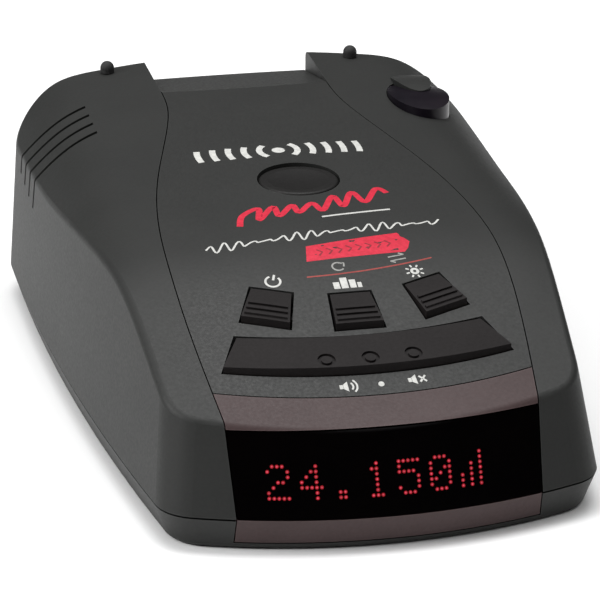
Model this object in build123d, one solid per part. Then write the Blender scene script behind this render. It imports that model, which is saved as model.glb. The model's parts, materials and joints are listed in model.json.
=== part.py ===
from build123d import *
from functools import lru_cache
from math import atan2, cos, degrees, exp, log, radians, sin, sqrt
import os

# Windscreen-mounted radar detector, in millimetres.
# X runs across the case, +Y from the display end to the antenna end, +Z up.
# The origin is under the middle of the case, on the plane that the case rests on.

# ---- Driving dimensions -----------------------------------------------------------------
LENGTH = 117.0            # display end to antenna end
HEIGHT = 33.3             # top skin at the antenna end, on the centre line
HALF_MID = 36.4           # half width at the parting line, at MID_Y
HALF_FAR = 37.2           # half width at the parting line, at the antenna end
HALF_NEAR = 30.7          # half width at the parting line, at the display end
MID_Y = 3.0
WALL = 2.0                # upper casing wall
SKIN = 2.2                # upper casing skin and inset panel
BASE_WALL = 3.0           # lower casing wall
BASE_FLOOR = 1.8          # lower casing floor
PARTING_Z = 5.0           # joint between the two halves of the casing
PARTING_GAP = 0.3         # shadow gap along that joint
SEAM = 0.18               # gap round flush inserts
FIT = 0.1                 # gap round parts that are assembled by hand
CONTACT = 0.02            # gap between faces that are glued, soldered or clamped together
RUNNING = 0.06            # radial clearance of a pin that turns or a stem that slides

# ---- Casing outline ---------------------------------------------------------------------
NEAR_Y = -LENGTH / 2
FAR_Y = LENGTH / 2
BOW_R = 74.0              # plan radius of the display end
FAR_BOW_R = 120.0         # plan radius of the antenna end
FRONT_LEAN = 0.44         # the display face leans back by this much a millimetre of height
LEAN_NEAR = 0.13          # side lean at the display end
LEAN_MID = 0.12           # side lean in the middle
LEAN_FAR = 0.06           # side lean at the antenna end
NEAR_CORNER_R = 6.5
FAR_CORNER_R = 12.0
BASE_TUCK = 0.32          # the lower half draws in by this much a millimetre, downwards
BASE_EDGE_R = 0.9
TOP_EDGE_R = 1.3          # rounding all round the top

# ---- Top surface ------------------------------------------------------------------------
CROWN_FALL = 6.3          # fall from the antenna end to the display end
CROWN_POWER = 1.6
NOSE_SLOPE = 0.36         # extra slope over the keys and the display
NOSE_Y = -22.0
NOSE_BLEND = 4.0
CAMBER = 0.0016           # sideways fall, times x squared
ROLL_X = 24.0             # the shoulders roll down outside this half width
ROLL_DEPTH = 5.0
ROLL_SPAN = 11.0
ROLL_FROM_Y = -48.0       # the roll grows between these two
ROLL_TO_Y = 25.0
GRID = 4.0                # spacing of the points that the top surface passes through
SURFACE_MARGIN = 8.0      # the surface runs past the casing by this much
DEEP = 90.0               # longer than any part, for cutting bodies

# ---- Inset panel, ramp and trim ---------------------------------------------------------
PANEL_NEAR = 21.4         # half width of the inset panel at the display face
PANEL_WIDE = 23.9         # half width at its widest, over the keys
PANEL_MID = 20.3          # half width beside the release button
PANEL_WAIST = 14.0        # half width where the shoulders close in
PANEL_FAR = 13.3          # half width at the antenna end
WIDE_Y = -30.0
PANEL_MID_Y = 8.0
WAIST_Y = 33.0
CREASE_Y = 41.0           # the bracket ramp starts here
RAMP_DROP = 3.5           # fall of the ramp at the antenna end
LEDGE = 2.0               # rim of the casing under the inset panel
LEDGE_T = 1.3
TRIM_Y = -48.2            # edge between the panel and the upper trim, on the centre line
WINDOW_TOP = 16.1
LOWER_TRIM_Z = 0.95       # lower edge of the lower trim
LOWER_TRIM_T = 1.4
TRIM_T = 1.8
WINDOW_T = 1.8

# ---- Keys and volume bar ----------------------------------------------------------------
FAN_Y = 3.0               # centre that the three keys fan out from
KEY_FAR_R = 33.0          # far edge of the keys, from that centre
KEY_LONG = 6.4
KEY_FAN = 19.2            # angle between neighbouring keys
KEY_FAR_W = 5.7
KEY_NEAR_W = 6.8
KEY_GAP = 0.35            # gap round the keys and the bar
KEY_DEEP = 4.6            # key body under its top face
KEY_TILT = 7.0            # the near edge stands proud because the top is tilted
RIB_H = 0.3
RIB_W = 0.45
RIB_STEP = 1.15
RIB_COUNT = 3
HINGE_IN = 1.2            # hinge axis, in from the far edge of a key
HINGE_DOWN = 3.7          # hinge axis, under the top surface
PIN_R = 0.8
PIN_LONG = 1.25
SADDLE_W = 0.95
BAR_FAR_Y = -38.0         # far edge of the bar on the centre line
BAR_NEAR_Y = -44.3
BAR_FAR_HALF = 17.4
BAR_NEAR_HALF = 20.4
BAR_HINGE_Y = -38.4
BAR_SADDLE_X = 20.1       # inner face of the saddles that hold the bar's pin
DIMPLE_R = 1.25
DIMPLE_XS = (-6.15, 0.0, 6.15)
DIMPLE_Y = -42.7
POST_R = 1.2
KEY_POST_R = 37.4         # posts under the keys, from the fan centre
BAR_POST_X = 10.0
BAR_POST_Y = -41.2
POST_GAP = 0.12           # between a post and its switch stem

# ---- Boards and switches ----------------------------------------------------------------
BOARD_Z = 10.0            # underside of the main board
BOARD_T = 1.6
BOARD_TOP = BOARD_Z + BOARD_T
BOARD_NEAR_Y = -44.3
BOARD_FAR_Y = 10.5
BOARD_HALF = 28.5
BOARD_NECK_HALF = 21.5    # the board is narrower beside the near casing screws
BOARD_NECK_Y = -35.0
SWITCH_SIZE = 6.0
SWITCH_H = 3.5
STEM_R = 1.7
STEM_LOW = 2.2            # bottom of a stem, above the board
STEM_TOP = 5.0            # top of a stem, above the board
STEM_BORE = 1.5           # bottom of the bore in a switch body, above the board
MODULE = (17.8, 3.0, 7.4)
MODULE_BACK = 7.5         # back of the display modules, behind the display face
DISPLAY_BOARD = (40.0, 1.2, 9.6)
HEADER_HALF = 6.5
CHIP_HALF = 7.0
CHIP_Y = -15.0
CHIP_H = 2.0
CHIP_LEADS = 10
CHIP_LEAD_STEP = 1.2
CHIP_LEAD_LONG = 1.2
CHIP_LEAD_W = 0.5
CAPACITORS = ((-18.0, -10.0, 3.2, 9.0), (-18.0, -2.0, 2.6, 7.5), (-11.0, -2.0, 2.0, 6.0), (15.0, -24.0, 2.4, 6.5))

# ---- Release button, latch and bracket channel ------------------------------------------
BUTTON_Y = 3.1
BUTTON_R = 6.0
BUTTON_GAP = 0.15
BUTTON_DISH_R = 30.0
BUTTON_DISH = 0.35
FLANGE_R = 6.9
FLANGE_T = 0.6
RELEASE_TRAVEL = 1.3
SLOT_HALF = 8.0           # bracket slot
SLOT_Z = 20.6             # floor of the slot
SLOT_H = 4.6
CHANNEL_T = 1.1
CHANNEL_NEAR_Y = -5.0
LATCH_STEM_R = 1.55
LUG_R = 3.5
LUG_H = 2.4
LUG_UP = 2.0              # underside of the lug above the slot floor
CLIP_R = 2.1
CLIP_T = 1.0
CUP_R = 4.15
CUP_T = 1.1
CUP_DEEP = 7.2
SPRING_R = 3.2
SPRING_WIRE_R = 0.4
SPRING_TURNS = 5

# ---- Antenna, boards at the far end, lenses ----------------------------------------------
HORN_MOUTH_Y = 53.2
HORN_THROAT_Y = 30.0
HORN_BACK_Y = 15.0
HORN_Z = 10.8             # centre line of the horn
HORN_MOUTH = (23.0, 14.5)
HORN_THROAT = (12.0, 7.0)
HORN_T = 1.3
RF_BLOCK = (26.0, 6.0)    # width and height of the block behind the horn
RF_BOARD_Z = 12.8
RF_BOARD_T = 1.2
RF_CAN_H = 3.6
FRONT_LENS_X = -19.5
FRONT_LENS_Z = 11.0
FRONT_LENS = (9.0, 7.0)
SPEAKER_X = -24.0
SPEAKER_Y = 34.0
SPEAKER_R = 9.3
SPEAKER_Z = 15.0
SLOT_COUNT = 4            # bowed speaker slots that run over the shoulder
SLOT_W = 0.8
SLOT_FIRST_Y = 27.9
SLOT_STEP = 3.65
SLOT_BOW_R = 18.0
SLOT_BOW_X = -33.0
SLOT_END_X = -25.6
SLOT_LOW_Z = 20.3         # the nearest slot ends here on the side wall
SLOT_LOW_STEP = 0.6
LENS_X = 26.0             # middle of the rear laser lens, an oval in plan
LENS_Y = 33.8
LENS_HALF_W = 4.6
LENS_HALF_L = 8.0
LENS_DOME_R = 40.0
LENS_TOP_X = 24.5         # highest point of its dome
LENS_TOP_Y = 31.0
LENS_TOP_Z = 33.1
HOOD_X = 26.6             # the casing reaches over the lens as a tapered hood, oval in plan
HOOD_Y = 41.3
HOOD_HALF_W = 2.8
HOOD_HALF_L = 7.5
HOOD_R = 25.0
HOOD_TOP_Y = 37.0
HOOD_TOP_Z = 33.3
PEG_X = 19.8
PEG_Y = 54.0
PEG_R = 1.1
PEG_H = 1.9
PEG_STEM_R = 0.8
PEG_FOOT = 0.12           # underside of a peg's head above the skin
PHOTO_Y = 50.0            # photodiode behind the front lens

# ---- Sockets on the right side ------------------------------------------------------------
POWER_Y = -13.0
POWER_BODY = (13.0, 11.6, 10.6)
POWER_SOCKET = (7.8, 6.8)
POWER_DEEP = 11.0
PHONE_Y = 2.5
PHONE_BODY = (11.5, 6.6, 5.2)
PHONE_BARREL_R = 2.9
PHONE_BORE_R = 1.8
PHONE_BORE_L = 10.5
SOCKET_BACK = 0.9         # the power socket sits back from the side face

# ---- Screws --------------------------------------------------------------------------------
CASE_SCREWS = ((-26.2, -41.0), (26.2, -41.0), (-26.0, 49.0), (26.0, 49.0))
BOARD_SCREWS = ((-19.2, -32.0), (19.2, -32.0), (-25.0, 8.0), (25.0, 8.0))
CASE_SCREW_R = 1.1
CASE_SCREW_L = 13.0
CASE_HEAD_R = 2.2
CASE_HEAD_T = 1.6
BOARD_SCREW_R = 0.9
BOARD_HEAD_R = 1.9
BOARD_HEAD_T = 1.2
BOARD_SCREW_L = 7.0
BOSS_R = 3.0
CASE_HOLE_R = 1.4
CASE_HEAD_DEEP = 2.4      # depth of the counterbores in the base
CASE_PILOT_TOP = 16.5
BOARD_POST_R = 2.4
BOARD_HOLE_R = 1.2

# ---- Base --------------------------------------------------------------------------------
LIP_GAP = 0.3             # between the lip of the lower casing and the wall of the upper casing
LIP_UP = 1.2
LIP_H = 2.4
LIP_NEAR = 16.0           # the lip starts this far behind the display end
LABEL = (44.0, 26.0)
LABEL_Y = 10.0
LABEL_DEEP = 0.45


def save(shape, name):
    """Write one node, which is a solid or a list of equal pieces."""
    if isinstance(shape, list):
        shape = Compound(children=shape)
    export_step(shape, f"parts/{name}.step")


def block(x0, x1, y0, y1, z0, z1):
    return Pos((x0 + x1) / 2, (y0 + y1) / 2, (z0 + z1) / 2) * Box(x1 - x0, y1 - y0, z1 - z0)


def rod(x, y, z0, z1, r):
    return Pos(x, y, (z0 + z1) / 2) * Cylinder(r, z1 - z0)


def tube(x, y, z0, z1, r, bore):
    return rod(x, y, z0, z1, r) - rod(x, y, z0 - 1, z1 + 1, bore)


def prism(edges, z0, z1):
    """Extrude a closed outline drawn at z = 0 between two heights."""
    face = make_face(edges).faces()[0]
    if face.normal_at().Z < 0:
        face = -face
    return Pos(0, 0, z0) * extrude(face, amount=z1 - z0)


# ---- Casing shapes ---------------------------------------------------------------------------
@lru_cache
def outline(z, inset=0.0):
    """Casing outline as a face at height z, drawn in by inset all round."""
    up = z - PARTING_Z
    upper = up >= 0
    near_y = NEAR_Y + (FRONT_LEAN if upper else -BASE_TUCK) * up + inset
    far_y = (FAR_Y if upper else FAR_Y + BASE_TUCK * up) - inset
    x_near = HALF_NEAR - (LEAN_NEAR if upper else -BASE_TUCK) * up - inset
    x_mid = HALF_MID - (LEAN_MID if upper else -BASE_TUCK) * up - inset
    x_far = HALF_FAR - (LEAN_FAR if upper else -BASE_TUCK) * up - inset
    near_r = BOW_R - inset
    far_r = FAR_BOW_R - inset
    y_near = near_y + near_r - sqrt(near_r**2 - x_near**2)
    y_far = far_y - far_r + sqrt(far_r**2 - x_far**2)
    face = make_face([
        ThreePointArc((-x_near, y_near), (0, near_y), (x_near, y_near)),
        ThreePointArc((x_near, y_near), (x_mid, MID_Y), (x_far, y_far)),
        ThreePointArc((x_far, y_far), (0, far_y), (-x_far, y_far)),
        ThreePointArc((-x_far, y_far), (-x_mid, MID_Y), (-x_near, y_near)),
    ])
    face = fillet([v for v in face.vertices() if v.Y < MID_Y], NEAR_CORNER_R - inset)
    face = fillet([v for v in face.vertices() if v.Y > y_far - CONTACT], FAR_CORNER_R - inset)
    return Pos(0, 0, z) * face


def smooth_step(value, low, high):
    t = min(1.0, max(0.0, (value - low) / (high - low)))
    return t * t * (3 - 2 * t)


def top_height(x, y):
    """Height of the top surface above the base plane."""
    s = max(0.0, (FAR_Y - y) / LENGTH)
    crown = HEIGHT - CROWN_FALL * s**CROWN_POWER
    nose = NOSE_SLOPE * NOSE_BLEND * log(1 + exp((NOSE_Y - y) / NOSE_BLEND))
    out = max(0.0, abs(x) - ROLL_X) / ROLL_SPAN
    roll = ROLL_DEPTH * out**2.2 * smooth_step(y, ROLL_FROM_Y, ROLL_TO_Y)
    return crown - nose - CAMBER * x * x - roll


def make_top_solid():
    """Everything under the top surface."""
    count_x = int((HALF_FAR + SURFACE_MARGIN) / GRID)
    count_y = int((LENGTH / 2 + SURFACE_MARGIN) / GRID)
    rows = []
    for i in range(-count_x, count_x + 1):
        ys = [j * GRID for j in range(-count_y, count_y + 1)]
        rows.append([Vector(i * GRID, y, top_height(i * GRID, y)) for y in ys])
    surface = Face.make_surface_from_array_of_points(rows, tol=0.005)
    return Solid.extrude(surface, Vector(0, 0, -DEEP))


TOP_SOLID = make_top_solid()


@lru_cache
def below_top(drop):
    return Pos(0, 0, -drop) * TOP_SOLID


def casing_block(inset, drop):
    """The upper casing as a solid block, drawn in by inset and lowered by drop."""
    sides = loft([outline(PARTING_Z, inset), outline(HEIGHT + 3, inset)], ruled=True)
    return sides & below_top(drop)


def rounded_casing():
    """The upper casing block with its top edges rounded."""
    body = casing_block(0, 0)
    rim = [e for e in body.edges() if e.center().Z > PARTING_Z + 6 and abs((e @ 1 - e @ 0).Z) < 16]
    return fillet(rim, TOP_EDGE_R)


def base_block(inset, z0, z1):
    """The lower casing as a solid block between two heights, drawn in by inset."""
    sides = loft([outline(-0.001, inset), outline(PARTING_Z, inset)], ruled=True)
    return sides & block(-DEEP, DEEP, -DEEP, DEEP, z0, z1)


@lru_cache
def seam_prism(grow, z0=0.0, z1=45.0):
    """The region of the inset panel, trims and window, grown sideways by grow."""
    near, wide, mid, waist, far = (x + grow for x in (PANEL_NEAR, PANEL_WIDE, PANEL_MID, PANEL_WAIST, PANEL_FAR))
    sides = []
    for k in (-1, 1):
        foot = (k * near, NEAR_Y + 2.5)
        shoulder = (k * far, CREASE_Y + 2)
        between = [(k * wide, WIDE_Y), (k * mid, PANEL_MID_Y), (k * waist, WAIST_Y)]
        sides.append(Line((k * near, -DEEP), foot))
        sides.append(Spline(foot, *between, shoulder, tangents=((k * 0.1, 1), (0, 1))))
        sides.append(Line(shoulder, (k * far, DEEP)))
    ends = [Line((-near, -DEEP), (near, -DEEP)), Line((-far, DEEP), (far, DEEP))]
    return prism(sides + ends, z0, z1)


def bow_y(x, y0):
    """Y of an arc parallel to the display face that crosses the centre line at y0."""
    return y0 + BOW_R - sqrt(BOW_R**2 - x * x)


@lru_cache
def beyond_bow(y0):
    """Everything on the antenna side of such an arc."""
    return rod(0, y0 + BOW_R, -5, 50, BOW_R) + block(-DEEP, DEEP, y0 + BOW_R, y0 + BOW_R + DEEP, -5, 50)


@lru_cache
def deck(drop):
    """Everything under the top surface and under the bracket ramp, lowered by drop."""
    z_crease = top_height(0, CREASE_Y) - drop
    slope = RAMP_DROP / (FAR_Y - CREASE_Y)
    reach = 2 * DEEP
    side = make_face(Polyline(
        (-reach, z_crease + slope * (reach + CREASE_Y)),
        (reach, z_crease - slope * (reach - CREASE_Y)),
        (reach, -DEEP - 60),
        (-reach, -DEEP - 60),
        close=True,
    ))
    under_ramp = extrude(Plane.YZ * side, amount=DEEP, both=True)
    return below_top(drop) & under_ramp


# ---- Places that several pieces share ----------------------------------------------------------
def key_frame(index):
    """Frame of a key: origin at the fan centre, -Y towards the near edge of the key."""
    return Location((0, FAN_Y, 0), (0, 0, KEY_FAN * index))


def key_point(index, r, x=0.0):
    """Plan position of a point on a key, at distance r from the fan centre."""
    angle = radians(KEY_FAN * index)
    return (r * sin(angle) + x * cos(angle), FAN_Y - r * cos(angle) + x * sin(angle))


def key_plan(index, grow):
    far = KEY_FAR_R - grow
    near = KEY_FAR_R + KEY_LONG + grow
    plan = Polyline(
        (-KEY_FAR_W / 2 - grow, -far),
        (KEY_FAR_W / 2 + grow, -far),
        (KEY_NEAR_W / 2 + grow, -near),
        (-KEY_NEAR_W / 2 - grow, -near),
        close=True,
    )
    return prism(plan, 0, 40).moved(key_frame(index))


def hinge_location(index):
    """Frame of a key's hinge, with X along the pin."""
    x, y = key_point(index, KEY_FAR_R + HINGE_IN)
    return Location((x, y, top_height(x, y) - HINGE_DOWN), (0, 0, KEY_FAN * index))


def bar_hinge_location():
    return Location((0, BAR_HINGE_Y, top_height(BAR_FAR_HALF, BAR_HINGE_Y) - HINGE_DOWN - 0.2))


def tilted_top(edge, drop):
    """The top surface tilted about a level edge line so that the near side rises."""
    lowered = below_top(drop)
    return edge * Rot(-KEY_TILT, 0, 0) * edge.inverse() * lowered


def bar_plan(grow):
    """Plan of the volume bar: two bowed edges and two slanted ends."""
    far = BAR_FAR_Y + grow
    near = BAR_NEAR_Y - grow
    x_far = BAR_FAR_HALF + grow
    x_near = BAR_NEAR_HALF + grow
    y_far = bow_y(x_far, far)
    y_near = bow_y(x_near, near)
    plan = [
        ThreePointArc((-x_far, y_far), (0, far), (x_far, y_far)),
        Line((x_far, y_far), (x_near, y_near)),
        ThreePointArc((x_near, y_near), (0, near), (-x_near, y_near)),
        Line((-x_near, y_near), (-x_far, y_far)),
    ]
    return prism(plan, 0, 40)


def post_places():
    """Plan position and turn of each switch, in order: three keys, then two under the bar."""
    keys = [(*key_point(i, KEY_POST_R), KEY_FAN * i) for i in (-1, 0, 1)]
    return keys + [(-BAR_POST_X, BAR_POST_Y, 0), (BAR_POST_X, BAR_POST_Y, 0)]


def side_x(y, z):
    """Half width of the casing at a height, on the straight part of its sides."""
    up = z - PARTING_Z
    near = HALF_NEAR - LEAN_NEAR * up
    mid = HALF_MID - LEAN_MID * up
    far = HALF_FAR - LEAN_FAR * up
    y0 = NEAR_Y + FRONT_LEAN * up
    y_near = y0 + BOW_R - sqrt(BOW_R**2 - near**2)
    y_far = FAR_Y - FAR_BOW_R + sqrt(FAR_BOW_R**2 - far**2)
    arc = ThreePointArc((near, y_near), (mid, MID_Y), (far, y_far))
    r = arc.radius
    c = arc.arc_center
    return c.X + sqrt(r * r - (y - c.Y)**2)


# ---- Upper casing ---------------------------------------------------------------------------------
def oval(x, y, half_w, half_l, z0, z1):
    """Upright body with an oval plan, long from the display end to the antenna end."""
    return Pos(x, y, z0) * extrude(Ellipse(half_w, half_l), amount=z1 - z0)


def slot_cutter(number):
    """One speaker slot, cut through the skin and a little way down the side."""
    y = SLOT_FIRST_Y + SLOT_STEP * number
    low = SLOT_LOW_Z + SLOT_LOW_STEP * number
    ring = tube(SLOT_BOW_X, y + SLOT_BOW_R, low, 45, SLOT_BOW_R + SLOT_W / 2, SLOT_BOW_R - SLOT_W / 2)
    return ring & block(-HALF_FAR - 5, SLOT_END_X, y - 2, y + SLOT_STEP, low, 45)


def add_ledge(shell, outer):
    """A rim inside the casing that carries the inset panel from below."""
    low = deck(SKIN + LEDGE_T)
    band = deck(SKIN + CONTACT) - low
    behind = beyond_bow(TRIM_Y + 1.6)
    root = (seam_prism(1.6) - seam_prism(0)) & ((outer & deck(1.0)) - low) & behind
    shelf = (seam_prism(0.4) - seam_prism(-LEDGE)) & band & outer & behind
    cross = band & seam_prism(0.4) & outer & (beyond_bow(TRIM_Y + 0.2) - beyond_bow(TRIM_Y + 2.6))
    return shell + root + shelf + cross


def add_inner_walls(body, inner):
    """Screw bosses and the ring round the speaker, grown up to the skin."""
    root = Pos(0, 0, 0.4) * inner
    for x, y in CASE_SCREWS:
        body = body + (rod(x, y, BOARD_Z + FIT, 45, BOSS_R) & root)
    return body + (tube(SPEAKER_X, SPEAKER_Y, SPEAKER_Z - 1, 45, SPEAKER_R + 1.3, SPEAKER_R + FIT) & root)


def cut_side_openings(body):
    """Holes for the bracket channel, the front lens and the two sockets."""
    x, _, z = channel_outer_size()
    body = body - block(-x - FIT, x + FIT, FAR_Y - 12, FAR_Y + 5, SLOT_Z - CHANNEL_T - FIT, z + FIT)
    return body - front_lens_solid(FIT) - power_plug_way(FIT) - phone_barrel(FIT)


def make_top_housing(outer, inner):
    body = add_inner_walls(outer - inner, inner)
    cut = seam_prism(0, PARTING_Z - 1) - deck(SKIN)
    front_cut = seam_prism(0, PARTING_Z - 1) & block(-DEEP, DEEP, -DEEP, TRIM_Y + 4, 0, 45)
    body = add_ledge(body - cut - front_cut, outer)
    notch_band = block(-DEEP, DEEP, CREASE_Y - 4, DEEP, 0, 45)
    body = body + ((seam_prism(1.4, HEIGHT - 9) - seam_prism(0)) & outer & notch_band)
    body = body - lens_seat() + hood()
    for place in CASE_SCREWS:
        body = body - rod(*place, BOARD_Z - 1, CASE_PILOT_TOP, CASE_SCREW_R + RUNNING)
    for number in range(SLOT_COUNT):
        body = body - slot_cutter(number)
    body = cut_side_openings(body)
    for x in (-PEG_X, PEG_X):
        body = body - rod(x, PEG_Y, HEIGHT - 6, HEIGHT + 4, PEG_STEM_R + CONTACT)
    return body


# ---- Pieces set into the upper casing ---------------------------------------------------------------
def hood_plan(grow):
    return oval(HOOD_X, HOOD_Y, HOOD_HALF_W + grow, HOOD_HALF_L + grow, 0, 45)


def hood():
    """Rounded part of the casing that reaches over the rear laser lens."""
    ball = Pos(HOOD_X, HOOD_TOP_Y, HOOD_TOP_Z - HOOD_R) * Sphere(HOOD_R)
    return (hood_plan(0) & ball) - below_top(SKIN)


def lens_seat():
    """Opening in the casing for the rear laser lens."""
    return oval(LENS_X, LENS_Y, LENS_HALF_W + FIT, LENS_HALF_L + FIT, HEIGHT - 13, 45) - hood_plan(0)


def make_rear_laser_lens():
    """Domed lens that stands proud of the falling shoulder."""
    dome = Pos(LENS_TOP_X, LENS_TOP_Y, LENS_TOP_Z - LENS_DOME_R) * Sphere(LENS_DOME_R)
    lens = oval(LENS_X, LENS_Y, LENS_HALF_W, LENS_HALF_L, 0, 45) & dome
    return lens - hood_plan(FIT) - below_top(SKIN)


def make_pegs():
    pegs = []
    for x in (-PEG_X, PEG_X):
        z = top_height(x, PEG_Y)
        stem = rod(x, PEG_Y, z - 2.2, z + 0.3, PEG_STEM_R)
        crown_z = z + PEG_H - PEG_R
        head = rod(x, PEG_Y, z + PEG_FOOT, crown_z, PEG_R) + Pos(x, PEG_Y, crown_z) * Sphere(PEG_R)
        pegs.append(stem + (head & block(x - 3, x + 3, PEG_Y - 3, PEG_Y + 3, z + PEG_FOOT, z + 5)))
    return pegs


def key_stack(index):
    x, y = key_point(index, KEY_FAR_R)
    return Location((x, y, top_height(x, y)), (0, 0, KEY_FAN * index))


def make_key(index):
    edge = key_stack(index)
    top = tilted_top(edge, 0)
    body = (key_plan(index, 0) & top) - tilted_top(edge, KEY_DEEP)
    crown = tilted_top(edge, -RIB_H)
    for k in range(RIB_COUNT):
        near = KEY_FAR_R + KEY_LONG - 0.55 - k * RIB_STEP
        strip = block(-KEY_NEAR_W, KEY_NEAR_W, -near, -near + RIB_W, 0, 40).moved(key_frame(index))
        body = body + ((strip & key_plan(index, -0.35) & crown) - tilted_top(edge, 0.5))
    x, y = key_point(index, KEY_POST_R)
    post = rod(x, y, BOARD_TOP + STEM_TOP + POST_GAP, top_height(x, y) - KEY_DEEP + 1.0, POST_R)
    half = KEY_FAR_W / 2 + PIN_LONG
    pin = hinge_location(index) * Rot(0, 90, 0) * Cylinder(PIN_R, 2 * half)
    return body + post + pin


def make_volume_bar():
    x_far = BAR_FAR_HALF
    edge = Location((0, bow_y(x_far, BAR_FAR_Y), top_height(x_far, bow_y(x_far, BAR_FAR_Y))))
    body = (bar_plan(0) & tilted_top(edge, 0)) - tilted_top(edge, KEY_DEEP)
    for x in DIMPLE_XS:
        ring = tube(x, bow_y(x, DIMPLE_Y), 0, 40, DIMPLE_R, DIMPLE_R - 0.5)
        body = body - (ring - tilted_top(edge, 0.35))
    for x in (-BAR_POST_X, BAR_POST_X):
        top = top_height(x, BAR_POST_Y) - KEY_DEEP + 1.5
        body = body + rod(x, BAR_POST_Y, BOARD_TOP + STEM_TOP + POST_GAP, top, POST_R)
    half = BAR_SADDLE_X + SADDLE_W - 0.1
    pin = bar_hinge_location() * Rot(0, 90, 0) * Cylinder(PIN_R, 2 * half)
    return body + pin


def saddle(hinge, half):
    """Two cheeks under the panel that hold the ends of a hinge pin."""
    cheeks = []
    for side in (-1, 1):
        x = side * (half + SADDLE_W / 2)
        cheek = Pos(x, 0, 1.2) * Box(SADDLE_W, 2.8, 5.2)
        hole = Pos(x, 0, 0) * Rot(0, 90, 0) * Cylinder(PIN_R + RUNNING, SADDLE_W + 1)
        cheeks.append(hinge * (cheek - hole))
    return cheeks


def make_centre_panel(outer):
    plate = (seam_prism(-SEAM) & outer & deck(0) & beyond_bow(TRIM_Y + SEAM / 2)) - deck(SKIN)
    for index in (-1, 0, 1):
        plate = plate - key_plan(index, KEY_GAP)
    plate = plate - bar_plan(KEY_GAP)
    plate = plate - rod(0, BUTTON_Y, 0, 45, BUTTON_R + BUTTON_GAP)
    under = deck(SKIN - 0.4)
    for index in (-1, 0, 1):
        for cheek in saddle(hinge_location(index), KEY_FAR_W / 2 + KEY_GAP):
            plate = plate + (cheek & under)
    for cheek in saddle(bar_hinge_location(), BAR_SADDLE_X):
        plate = plate + (cheek & under)
    return plate


def make_upper_trim(outer):
    """Satin band between the panel and the window."""
    band = (seam_prism(-SEAM, WINDOW_TOP) & outer) - beyond_bow(TRIM_Y - SEAM / 2)
    return band - casing_block(TRIM_T, TRIM_T)


def make_window(outer):
    body = seam_prism(-SEAM, PARTING_Z + 0.1, WINDOW_TOP - SEAM) & outer
    body = body & block(-DEEP, DEEP, -DEEP, NEAR_Y + 16, 0, 45)
    return body - casing_block(WINDOW_T, 0.2)


# ---- Release button, latch and bracket channel -----------------------------------------------------------
def button_top():
    return top_height(0, BUTTON_Y) - 0.1


def flange_top():
    return top_height(FLANGE_R, BUTTON_Y - FLANGE_R) - SKIN - 0.25


def make_release_button():
    z_top = button_top()
    z_flange = flange_top()
    body = rod(0, BUTTON_Y, z_flange - FLANGE_T, z_top, BUTTON_R)
    body = body + rod(0, BUTTON_Y, z_flange - FLANGE_T, z_flange, FLANGE_R)
    ball_z = z_top - BUTTON_DISH + BUTTON_DISH_R
    body = body - Pos(0, BUTTON_Y, ball_z) * Sphere(BUTTON_DISH_R)
    body = fillet([e for e in body.edges() if e.center().Z > z_top - 0.01 and e.radius > 5.9], 0.5)
    stem_low = SLOT_Z + LUG_UP - CONTACT - CLIP_T
    body = body + rod(0, BUTTON_Y, stem_low, z_flange, LATCH_STEM_R)
    return body + rod(0, BUTTON_Y, stem_low, stem_low + CLIP_T, CLIP_R)


def make_latch_lug():
    z = SLOT_Z + LUG_UP
    lug = rod(0, BUTTON_Y, z, z + LUG_H, LUG_R)
    lug = chamfer([e for e in lug.edges() if e.center().Z > z + LUG_H - 0.01], 0.5)
    return lug - rod(0, BUTTON_Y, z - 1, z + LUG_H + 1, LATCH_STEM_R + CONTACT)


def cup_floor():
    return SLOT_Z - CUP_DEEP


def make_release_spring():
    low = cup_floor() + CONTACT + SPRING_WIRE_R
    high = SLOT_Z + LUG_UP - CONTACT - SPRING_WIRE_R
    path = Helix(pitch=(high - low) / SPRING_TURNS, height=high - low, radius=SPRING_R)
    wire = sweep(Plane(path @ 0, z_dir=path % 0) * Circle(SPRING_WIRE_R), path=path)
    return Pos(0, BUTTON_Y, low) * wire


def channel_outer_size():
    """Half width, far end and top of the bracket channel."""
    return SLOT_HALF + CHANNEL_T, FAR_Y - 0.6, SLOT_Z + SLOT_H + CHANNEL_T


def make_mount_channel():
    half, far, z_top = channel_outer_size()
    near = CHANNEL_NEAR_Y
    body = block(-half, half, near, far, SLOT_Z - CHANNEL_T, z_top)
    body = body - block(-SLOT_HALF, SLOT_HALF, near + CHANNEL_T, far + 5, SLOT_Z, SLOT_Z + SLOT_H)
    body = body + rod(0, BUTTON_Y, cup_floor() - CUP_T, SLOT_Z - 0.1, CUP_R + CUP_T)
    body = body - rod(0, BUTTON_Y, cup_floor(), SLOT_Z + 0.1, CUP_R)
    body = body - rod(0, BUTTON_Y, SLOT_Z, z_top + 1, CLIP_R + 0.3)
    seat = deck(SKIN + CONTACT)
    for x in (-half + 0.6, half - 0.6):
        rib = block(x - 0.6, x + 0.6, near + 2, CREASE_Y + 4, z_top - 0.2, 45)
        body = body + (rib & seat)
    return body


# ---- Lower casing --------------------------------------------------------------------------------------------
def lip_ring():
    """Lip of the lower casing that stands inside the wall of the upper casing."""
    outside = extrude(outline(PARTING_Z, WALL + LIP_GAP), amount=LIP_H)
    inside = extrude(outline(PARTING_Z, BASE_WALL), amount=LIP_H)
    return Pos(0, 0, LIP_UP - LIP_H) * (outside - inside)


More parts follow.
